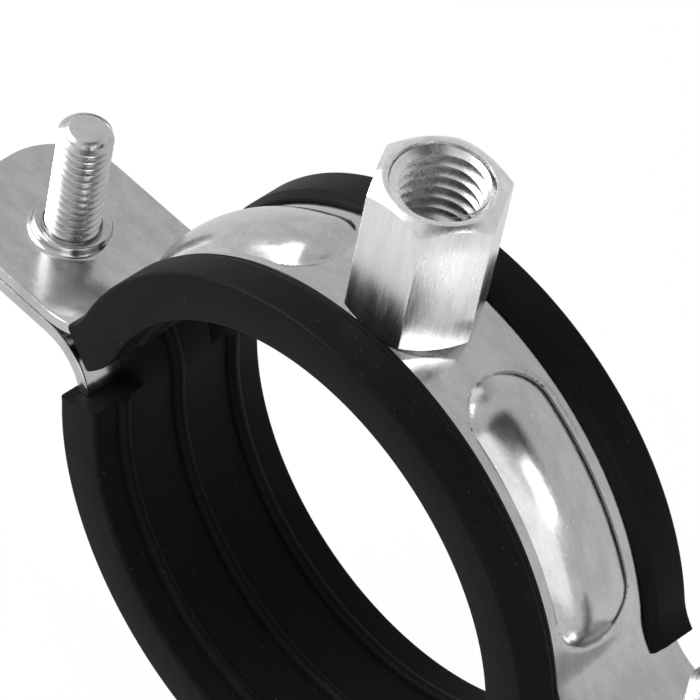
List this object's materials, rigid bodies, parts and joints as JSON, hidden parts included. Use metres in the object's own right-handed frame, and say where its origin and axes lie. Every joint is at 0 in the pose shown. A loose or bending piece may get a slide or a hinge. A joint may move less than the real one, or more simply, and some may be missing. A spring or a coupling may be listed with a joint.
{
  "type": "rubber lined pipe clamp",
  "caption": "Round pipe clamp of two bent steel half bands with rubber linings, clamping screws through the flanges and a threaded hexagonal connection nut on top.",
  "frame": {"origin": "centre of the pipe bore, on its axis, in the middle of the clamp's width", "axes": "+Y along the pipe, +Z from the pipe axis out through the connection nut, +X towards the right-hand screw"},
  "size_m": [0.1152, 0.0236, 0.0841],
  "materials": {
    "zinc_sheet": "bright zinc plated steel sheet, satin with faint grain",
    "lining_rubber": "matt black rubber",
    "zinc_nut": "bright zinc plated steel with fine drawn streaks",
    "zinc_screw": "bright zinc plated steel"
  },
  "bodies": {
    "upper_half": {"upper_band": "zinc_sheet", "upper_lining": "lining_rubber", "connection_nut": "zinc_nut"},
    "lower_half": {"lower_band": "zinc_sheet", "lower_lining": "lining_rubber"},
    "left_screw_body": {"left_screw": "zinc_screw"},
    "right_screw_body": {"right_screw": "zinc_screw"}
  },
  "joints": [
    {"name": "clamp_opening", "type": "slide", "parent": "upper_half", "child": "lower_half", "axis": [0, 0, -1], "range_m": [0, 0.012]},
    {"name": "left_screw_turn", "type": "hinge", "parent": "lower_half", "child": "left_screw_body", "pos_m": [-0.046, 0, 0], "axis": [0, 0, -1], "range_deg": [0, 4320]},
    {"name": "right_screw_turn", "type": "hinge", "parent": "lower_half", "child": "right_screw_body", "pos_m": [0.046, 0, 0], "axis": [0, 0, -1], "range_deg": [0, 4320]}
  ],
  "couplings": [
    {"joint": "left_screw_turn", "follows": "clamp_opening", "rad_per_m": 6283.2},
    {"joint": "right_screw_turn", "follows": "clamp_opening", "rad_per_m": 6283.2}
  ]
}
